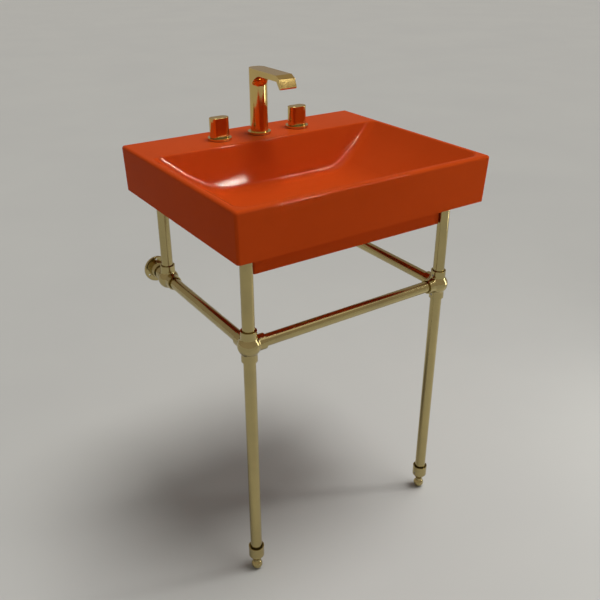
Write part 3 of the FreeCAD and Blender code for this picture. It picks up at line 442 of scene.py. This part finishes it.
def grub(mesh, start, axis, radius, length):
    """Cup-point set screw with a hexagon socket in its outer end."""
    edge = radius * 0.16
    cup = radius * 0.4
    point = radius * 0.65
    point_length = edge * 1.6
    socket = radius * 0.6
    socket_depth = radius * 0.8
    loft(mesh, facing(start, axis), [
        (SMALL_SIDES, cup, edge), (SMALL_SIDES, point, 0.0),
        (SMALL_SIDES, radius, point_length), (SMALL_SIDES, radius, length - edge),
        (SMALL_SIDES, radius - edge, length), (HEXAGON, socket, length),
        (HEXAGON, socket, length - socket_depth)])


def set_screws():
    """Screws that hold the tubes in the collars, cups and flanges."""
    radius = 2.4
    mesh = bmesh.new()
    for side in (-1.0, 1.0):
        inward = Vector((-side, 0.0, 0.0))
        front = Vector((side * LEG_X, FRONT_Y, RAIL_Z))
        rear = Vector((side * LEG_X, REAR_Y, RAIL_Z))
        ahead = Vector((0.0, -1.0, 0.0))
        for centre, arms in ((front, (UP, DOWN, inward, -ahead)), (rear, (UP, ahead, -ahead))):
            for arm in arms:
                aim = inward if arm.z else DOWN
                start = centre + arm * COLLAR_SCREW_REACH + aim * TUBE_RADIUS
                grub(mesh, start, aim, radius, length=3.5)
        foot = Vector((side * LEG_X, FRONT_Y, FLOOR_Z + FOOT_SCREW_RISE))
        grub(mesh, foot + inward * TUBE_RADIUS, inward, radius, length=4.4)
        hub = Vector((side * LEG_X, HUB_Y, RAIL_Z))
        grub(mesh, hub + DOWN * TUBE_RADIUS, DOWN, radius, length=3.4)
    finish_piece("socket_set_screws", mesh, "steel", ["set_screws"])


def knob_screw(side, node, body):
    """Set screw in the back of a knob."""
    mesh = bmesh.new()
    spindle_side = FAUCET_Y + 4.0
    start = (side * VALVE_X, spindle_side, KNOB_SCREW_Z)
    grub(mesh, start, (0.0, 1.0, 0.0), radius=1.95, length=8.2)
    finish_piece(node + "_socketed", mesh, "steel", [node], body)


def hex_nut(mesh, place, flats, bore, height):
    """Hexagon nut with both faces turned down to a bevel and the thread's mouths broken."""
    corner = flats / math.sqrt(3.0)
    face = flats / 2 * 0.97
    bevel = (corner - face) * 0.45
    mouth = 0.8
    loft(mesh, facing(place, UP), [
        (SIDES, bore + mouth, 0.0), (SIDES, face, 0.0), (HEXAGON, corner, bevel),
        (HEXAGON, corner, height - bevel), (SIDES, face, height), (SIDES, bore + mouth, height),
        (SIDES, bore, height - mouth), (SIDES, bore, mouth)], hollow=True)


def nuts():
    """Lock nuts under the deck, the drain's lock nut and the coupling nuts of the crossovers."""
    mesh = bmesh.new()
    for across in (-VALVE_X, 0.0, VALVE_X):
        hex_nut(mesh, (across, FAUCET_Y, DECK_NUT_Z), flats=40.0, bore=14.1, height=8.0)
    finish_piece("deck_nuts_bevelled", mesh, "raw_brass", ["deck_lock_nuts"])

    mesh = bmesh.new()
    place = (0.0, DRAIN_Y, BOWL_FLOOR - DRAIN_NUT_DROP)
    hex_nut(mesh, place, flats=56.0, bore=21.6, height=10.0)
    finish_piece("drain_nut_bevelled", mesh, "raw_brass", ["drain_lock_nut"])

    mesh = bmesh.new()
    for across, axis in ((-OUTER_COUPLING_X, 1.0), (-INNER_COUPLING_X, -1.0),
                         (INNER_COUPLING_X, 1.0), (OUTER_COUPLING_X, -1.0)):
        loft(mesh, facing((across, FAUCET_Y, CROSSOVER_Z), (axis, 0.0, 0.0)), [
            (SMALL_SIDES, 8.1, -8.0), (SMALL_SIDES, 9.1, -8.0), (HEXAGON, 10.5, -7.3),
            (HEXAGON, 10.5, 2.0), (SMALL_SIDES, 8.7, 3.0), (SMALL_SIDES, 7.6, 6.2),
            (SMALL_SIDES, 6.8, 7.0), (SMALL_SIDES, 4.85, 7.0), (SMALL_SIDES, 4.85, 0.0),
            (SMALL_SIDES, 8.1, 0.0)], hollow=True)
    finish_piece("coupling_nuts_hexagonal", mesh, "raw_brass", ["coupling_nuts"])


def boss(mesh, place, axis):
    """Branch for a crossover tube, with its bore and a broken edge."""
    turned(mesh, facing(place, axis), [
        (8.0, 10.0), (8.0, 27.3), (7.3, 28.0), (4.9, 28.0), (4.9, 20.0)])


def valve(side, node):
    """Valve body with a threaded shank, a threaded inlet and its branch."""
    across = side * VALVE_X
    mesh = bmesh.new()
    turned(mesh, facing((across, FAUCET_Y, 0.0), UP), [
        (WATER_WAY, -50.0), (8.6, -50.0), (9.45, -49.0), (9.45, -22.0), (15.8, -22.0),
        (17.0, -20.8), (17.0, 22.8), (15.8, 24.0), (SHANK_CORE, 24.0), (SHANK_CORE, 62.5),
        (10.1, 62.5), (10.1, 4.5), (WATER_WAY, 4.5)], hollow=True)
    boss(mesh, (across, FAUCET_Y, CROSSOVER_Z), (-side, 0.0, 0.0))
    thread(mesh, across, FAUCET_Y, -49.5, -24.0, *INLET_THREAD)
    thread(mesh, across, FAUCET_Y, 24.5, 58.0, *SHANK_THREAD)
    finish_piece(node + "_threaded", mesh, "raw_brass", [node])


def spout_shank():
    """Threaded shank of the spout with the tee for both crossovers."""
    mesh = bmesh.new()
    turned(mesh, facing((0.0, FAUCET_Y, 0.0), UP), [
        (14.8, 5.0), (16.0, 6.2), (16.0, 23.8), (14.8, 25.0), (SHANK_CORE, 25.0),
        (SHANK_CORE, 77.7), (12.4, 78.5), (WATER_WAY, 78.5), (WATER_WAY, 10.5)])
    for axis in (-1.0, 1.0):
        boss(mesh, (0.0, FAUCET_Y, CROSSOVER_Z), (axis, 0.0, 0.0))
    thread(mesh, 0.0, FAUCET_Y, 25.5, 77.0, *SHANK_THREAD)
    finish_piece("spout_shank_threaded", mesh, "raw_brass", ["spout_shank"])


def drain_body():
    """Drain with a soft-edged flange and a threaded body."""
    mesh = bmesh.new()
    turned(mesh, facing((0.0, DRAIN_Y, BOWL_FLOOR), UP), [
        (17.0, -1.0), (18.0, 0.0), (31.6, 0.0), (32.2, -0.3), (32.5, -0.9), (32.5, -2.4),
        (20.7, -2.4), (20.7, -73.0), (19.8, -74.0), (15.55, -74.0), (15.55, -56.0),
        (15.2, -56.0), (15.2, -38.0), (17.0, -38.0)], hollow=True)
    thread(mesh, 0.0, DRAIN_Y, BOWL_FLOOR - 73.0, BOWL_FLOOR - 5.0, *DRAIN_THREAD)
    finish_piece("drain_body_threaded", mesh, "polished_brass", ["drain_body"])


def aerator():
    """Outlet insert: a ring around a fine screen."""
    radius = 6.4
    cells = 14
    screen_rise = 1.4
    mesh = bmesh.new()
    where = facing((0.0, AERATOR_Y, ARM_UNDER), UP)
    level = where @ Matrix.Translation((0.0, 0.0, screen_rise))
    screen = bmesh.ops.create_grid(mesh, x_segments=cells, y_segments=cells, size=radius,
                                   matrix=level)
    middle = where.translation
    outside = [vert for vert in screen["verts"] if (vert.co - middle).xy.length > radius]
    bmesh.ops.delete(mesh, geom=outside, context="VERTS")
    bmesh.ops.wireframe(mesh, faces=mesh.faces, thickness=0.32, use_replace=True,
                        use_boundary=True, use_even_offset=True)
    turned(mesh, where, [
        (radius, 0.4), (6.8, 0.0), (7.6, 0.0), (7.9, 0.3), (7.9, 6.0), (radius, 6.0)], hollow=True)
    turned(mesh, where, [(radius, 4.8), (radius, 5.6)])
    finish_piece("aerator_screened", mesh, "steel", ["aerator"])


# floor, light and camera

def pale_floor():
    """A plain pale floor under the feet."""
    material, tree, shader, where = new_material("Pale floor")
    colour = place_group(tree, DRIFT, where, Tint=(0.54, 0.535, 0.505, 1.0),
                         Other_tint=(0.56, 0.555, 0.52, 1.0), Scale=1.3)
    join(tree, colour.outputs["Color"], shader.inputs["Base Color"])
    shader.inputs["Roughness"].default_value = FLOOR_ROUGHNESS
    mesh = bpy.data.meshes.new("floor")
    level = cad_low.z
    corners = [(-FLOOR_REACH, -FLOOR_REACH, level), (FLOOR_REACH, -FLOOR_REACH, level),
               (FLOOR_REACH, FLOOR_REACH, level), (-FLOOR_REACH, FLOOR_REACH, level)]
    mesh.from_pydata(corners, [], [(0, 1, 2, 3)])
    mesh.materials.append(material)
    floor = bpy.data.objects.new("floor", mesh)
    scene.collection.objects.link(floor)


def along(tree, where, direction):
    """How far coordinates lie along a direction."""
    made = add(tree, "ShaderNodeVectorMath", operation="DOT_PRODUCT")
    made.inputs[1].default_value = direction
    join(tree, where, made.inputs[0])
    return made.outputs["Value"]


def soft_world():
    """Dim surroundings, brighter overhead and to the lit side; seen or mirrored, pale all round."""
    world = bpy.data.worlds.new("Studio")
    world.use_nodes = True
    scene.world = world
    tree = world.node_tree
    background = tree.nodes["Background"]
    where = add(tree, "ShaderNodeTexCoord").outputs["Generated"]
    lit = spread(tree, along(tree, where, LIT_SIDE), *LIT_SPREAD)
    pale = spread(tree, along(tree, where, PALE_SIDE), *PALE_SPREAD)
    ray = add(tree, "ShaderNodeLightPath").outputs
    mirrored = combine(tree, "ADD", ray["Is Glossy Ray"], ray["Is Transmission Ray"])
    seen = combine(tree, "ADD", ray["Is Camera Ray"], mirrored)
    strength = spread(tree, seen, 0.0, 1.0, lit, pale)
    join(tree, strength, background.inputs["Strength"])
    tint = add(tree, "ShaderNodeMix", data_type="RGBA")
    tint.inputs[MIX_FIRST].default_value = LIT_TINT
    tint.inputs[MIX_SECOND].default_value = SEEN_TINT
    join(tree, seen, tint.inputs[MIX_SHARE])
    join(tree, tint.outputs[MIX_RESULT], background.inputs["Color"])


def sky_lamp(name, toward, strength, width):
    """Very soft distant light from a direction."""
    data = bpy.data.lights.new(name, "SUN")
    data.energy = strength
    data.angle = math.radians(width)
    made = bpy.data.objects.new(name, data)
    made.rotation_euler = Vector(toward).to_track_quat("Z", "Y").to_euler()
    scene.collection.objects.link(made)


def lamp(name, place, aim, width, height, power):
    """A soft rectangular lamp at a place, turned to a point."""
    data = bpy.data.lights.new(name, "AREA")
    data.shape = "RECTANGLE"
    data.size = width
    data.size_y = height
    data.energy = power
    made = bpy.data.objects.new(name, data)
    made.location = place
    made.rotation_euler = (Vector(aim) - Vector(place)).to_track_quat("-Z", "Y").to_euler()
    scene.collection.objects.link(made)
    return made


def lights_only(source, names):
    """Keep a lamp to some solids."""
    lit = bpy.data.collections.new("lit by " + source.name)
    for name in names:
        lit.objects.link(nodes[name])
    source.light_linking.receiver_collection = lit


def photo_camera():
    """The photograph's camera."""
    data = bpy.data.cameras.new("camera")
    data.lens = CAMERA_LENS
    data.sensor_width = CAMERA_SENSOR
    made = bpy.data.objects.new("camera", data)
    level = math.cos(CAMERA_DIP)
    aim = Vector((math.sin(CAMERA_HEADING) * level, math.cos(CAMERA_HEADING) * level,
                  -math.sin(CAMERA_DIP)))
    made.location = CAMERA_PLACE
    made.rotation_euler = aim.to_track_quat("-Z", "Y").to_euler()
    scene.collection.objects.link(made)
    scene.camera = made


scene.view_settings.view_transform = "Standard"
dress_nodes()
set_screws()
knob_screw(-1.0, "hot_knob_screw", "hot_handle")
knob_screw(1.0, "cold_knob_screw", "cold_handle")
nuts()
valve(-1.0, "hot_valve")
valve(1.0, "cold_valve")
spout_shank()
drain_body()
aerator()
pale_floor()
soft_world()
sky_lamp("sky", toward=(0.22, -0.11, 0.97), strength=1.92, width=28.0)
lamp("tall_window", place=(1.30, -0.95, 0.10), aim=(0.0, -0.35, 0.0),
     width=0.16, height=1.3, power=5.5)
window = lamp("high_window", place=(0.99, -1.46, 1.54), aim=(0.0, -0.25, 0.0),
              width=0.9, height=0.7, power=1.0)
crease = lamp("crease", place=(1.18, -1.90, 1.33), aim=(0.0, -0.17, 0.0),
              width=0.85, height=0.06, power=600.0)
glint = lamp("glint", place=(0.95, -2.22, 0.71), aim=(-0.12, -0.2, -0.03),
             width=0.24, height=0.036, power=45.0)
nose = lamp("nose", place=(1.077, -1.642, 1.10), aim=(0.0, -0.195, 0.185),
            width=0.05, height=0.03, power=0.035)

# these show only as reflections
for each in (window, crease, glint, nose):
    each.visible_diffuse = False
for each in (crease, glint):
    lights_only(each, ["basin"])
    each.data.color = WARM
lights_only(nose, ["spout"])
photo_camera()
